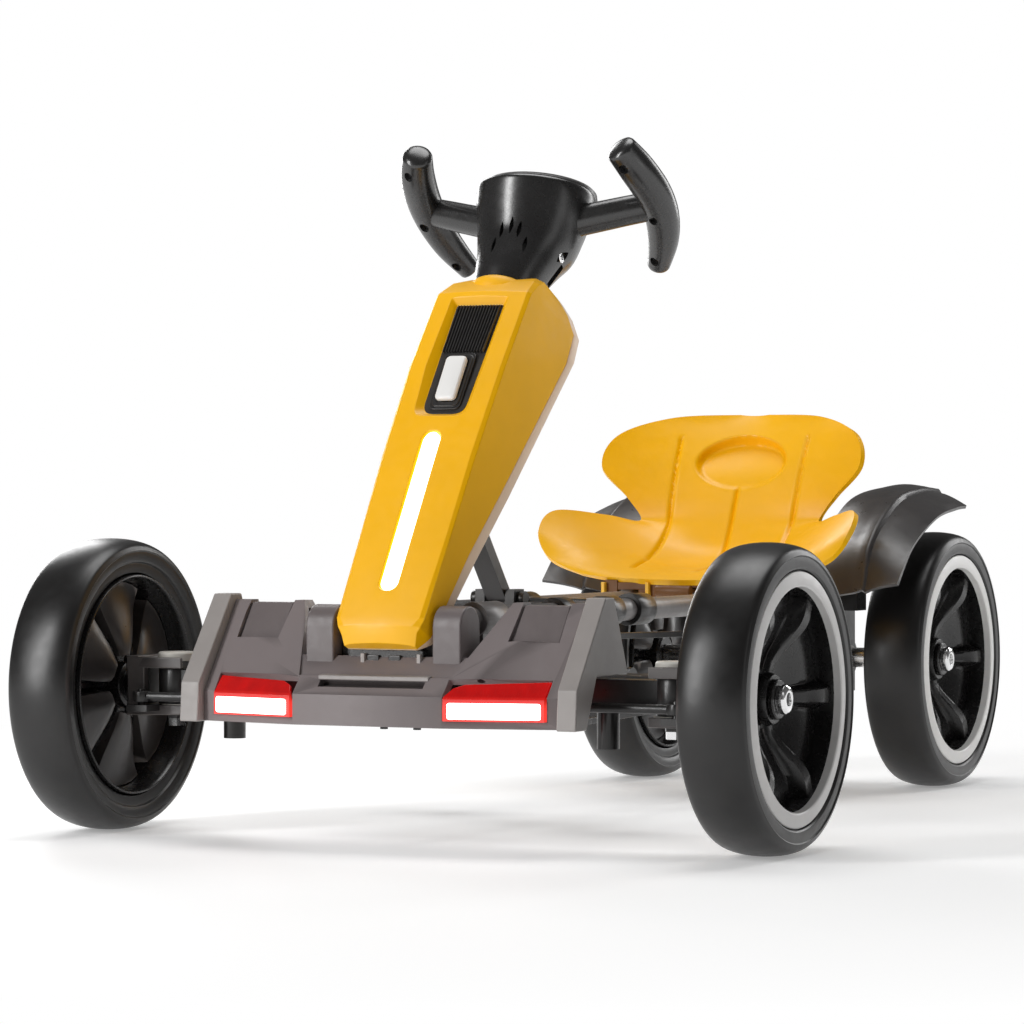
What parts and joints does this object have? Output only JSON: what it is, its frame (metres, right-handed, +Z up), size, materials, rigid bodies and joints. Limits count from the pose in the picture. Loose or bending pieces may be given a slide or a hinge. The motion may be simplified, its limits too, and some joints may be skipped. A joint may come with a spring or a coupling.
{
  "type": "pedal go kart",
  "caption": "Low child's go kart with a leaning steering column, butterfly steering grips, bucket seat, front bumper tray with lamps, and smooth-tyred wheels.",
  "frame": {"origin": "on the ground, in the middle of the wheelbase and the track", "axes": "-Y is the front of the kart, +X its left side, +Z up"},
  "size_m": [0.615, 0.965, 0.5465],
  "materials": {
    "yellow_plastic": "satin moulded",
    "pale_plastic": "satin moulded",
    "grey_plastic": "fine grain",
    "black_plastic": "satin",
    "black_rubber": "ribbed",
    "rim_plastic": "satin",
    "tyre_rubber": "smooth",
    "white_plastic": "gloss",
    "orange_plastic": "gloss",
    "red_lens": "clear moulded",
    "lit_red": "lit",
    "lit_white": "lit",
    "black_steel": "powder coat",
    "bright_steel": "zinc plated",
    "chrome": "plated",
    "nylon": "satin",
    "pedal_plastic": "grained"
  },
  "bodies": {
    "chassis": {"axle_bushes": "nylon", "axle_carriers": "black_steel", "bumper_ribs": "grey_plastic", "bumper_tray": "grey_plastic", "column_base": "black_steel", "column_ears": "grey_plastic", "column_front_cover": "yellow_plastic", "column_light": "lit_white", "column_rear_cover": "pale_plastic", "column_strut": "black_steel", "crank_hangers": "black_steel", "drive_chain": "bright_steel", "fenders": "black_plastic", "foot_pads": "black_rubber", "frame_bolts": "bright_steel", "frame_tube_left": "black_steel", "frame_tube_right": "black_steel", "front_beam": "black_steel", "front_cross_piece": "black_steel", "lamp_bars": "lit_red", "lamp_lenses": "red_lens", "mid_cross_piece": "black_steel", "neck_bush": "black_plastic", "rear_bar": "black_steel", "strut_rail": "black_steel", "vent_panel": "black_plastic"},
    "seat": {"seat_shell": "yellow_plastic", "seat_base": "yellow_plastic", "seat_slide": "black_plastic", "seat_lever": "bright_steel"},
    "power_button": {"power_button": "white_plastic"},
    "steering": {"steering_shaft": "bright_steel", "steering_module": "black_plastic", "module_cap": "black_plastic", "grips": "black_plastic", "grip_spokes": "black_plastic"},
    "grip_button_left": {"grip_button_left": "orange_plastic"},
    "grip_button_right": {"grip_button_right": "orange_plastic"},
    "pitman": {"pitman_arm": "black_steel"},
    "tie_rod_left": {"tie_rod_left": "bright_steel"},
    "tie_rod_right": {"tie_rod_right": "bright_steel"},
    "knuckle_left": {"knuckle_left": "black_steel", "front_hub_nut_left": "chrome"},
    "knuckle_right": {"knuckle_right": "black_steel", "front_hub_nut_right": "chrome"},
    "front_wheel_left": {"front_tyre_left": "tyre_rubber", "front_rim_left": "rim_plastic"},
    "front_wheel_right": {"front_tyre_right": "tyre_rubber", "front_rim_right": "rim_plastic"},
    "rear_wheels": {"rear_axle": "bright_steel", "rear_tyres": "tyre_rubber", "rear_rim_left": "rim_plastic", "rear_rim_right": "rim_plastic", "rear_hub_nuts": "chrome", "axle_sprocket": "bright_steel"},
    "crank": {"crank_axle": "bright_steel", "crank_arms": "black_steel", "crank_sprocket": "bright_steel"},
    "pedal_left": {"pedal_left": "pedal_plastic"},
    "pedal_right": {"pedal_right": "pedal_plastic"}
  },
  "joints": [
    {"name": "steering_turn", "type": "hinge", "parent": "chassis", "child": "steering", "pos_m": [0, -0.224, 0.434], "axis": [0, 0.5807, 0.8141], "range_deg": [-30, 30]},
    {"name": "pitman_turn", "type": "hinge", "parent": "chassis", "child": "pitman", "pos_m": [0, -0.3805, 0.11], "axis": [0, 0, 1], "range_deg": [-30, 30]},
    {"name": "tie_rod_left_swing", "type": "hinge", "parent": "pitman", "child": "tie_rod_left", "pos_m": [0.014, -0.4105, 0.108], "axis": [0, 0, 1], "range_deg": [-30, 30]},
    {"name": "tie_rod_right_swing", "type": "hinge", "parent": "pitman", "child": "tie_rod_right", "pos_m": [-0.014, -0.4105, 0.108], "axis": [0, 0, 1], "range_deg": [-30, 30]},
    {"name": "knuckle_left_turn", "type": "hinge", "parent": "chassis", "child": "knuckle_left", "pos_m": [0.212, -0.3805, 0.115], "axis": [0, 0, 1], "range_deg": [-30, 30]},
    {"name": "knuckle_right_turn", "type": "hinge", "parent": "chassis", "child": "knuckle_right", "pos_m": [-0.212, -0.3805, 0.115], "axis": [0, 0, 1], "range_deg": [-30, 30]},
    {"name": "front_wheel_left_spin", "type": "hinge", "parent": "knuckle_left", "child": "front_wheel_left", "pos_m": [0.28, -0.3675, 0.115], "axis": [1, 0, 0], "continuous": true},
    {"name": "front_wheel_right_spin", "type": "hinge", "parent": "knuckle_right", "child": "front_wheel_right", "pos_m": [-0.28, -0.3675, 0.115], "axis": [1, 0, 0], "continuous": true},
    {"name": "rear_wheels_spin", "type": "hinge", "parent": "chassis", "child": "rear_wheels", "pos_m": [0, 0.3675, 0.115], "axis": [1, 0, 0], "continuous": true},
    {"name": "crank_spin", "type": "hinge", "parent": "chassis", "child": "crank", "pos_m": [0, -0.15, 0.115], "axis": [1, 0, 0], "continuous": true},
    {"name": "pedal_left_spin", "type": "hinge", "parent": "crank", "child": "pedal_left", "pos_m": [0.108, -0.208, 0.115], "axis": [1, 0, 0], "continuous": true},
    {"name": "pedal_right_spin", "type": "hinge", "parent": "crank", "child": "pedal_right", "pos_m": [-0.108, -0.092, 0.115], "axis": [1, 0, 0], "continuous": true},
    {"name": "seat_slide_travel", "type": "slide", "parent": "chassis", "child": "seat", "axis": [0, 1, 0], "range_m": [-0.04, 0.02]},
    {"name": "power_button_press", "type": "slide", "parent": "chassis", "child": "power_button", "axis": [0, 0.8202, -0.5721], "range_m": [0, 0.002], "stiffness_N_per_m": 300},
    {"name": "grip_button_left_press", "type": "slide", "parent": "steering", "child": "grip_button_left", "axis": [0, -0.7219, -0.692], "range_m": [0, 0.0012], "stiffness_N_per_m": 300},
    {"name": "grip_button_right_press", "type": "slide", "parent": "steering", "child": "grip_button_right", "axis": [0, -0.7219, -0.692], "range_m": [0, 0.0012], "stiffness_N_per_m": 300}
  ],
  "couplings": [
    {"joint": "pitman_turn", "follows": "steering_turn", "ratio": 1},
    {"joint": "tie_rod_left_swing", "follows": "steering_turn", "ratio": -1},
    {"joint": "tie_rod_right_swing", "follows": "steering_turn", "ratio": -1},
    {"joint": "knuckle_left_turn", "follows": "steering_turn", "ratio": 1},
    {"joint": "knuckle_right_turn", "follows": "steering_turn", "ratio": 1},
    {"joint": "crank_spin", "follows": "rear_wheels_spin", "ratio": 0.66667}
  ]
}
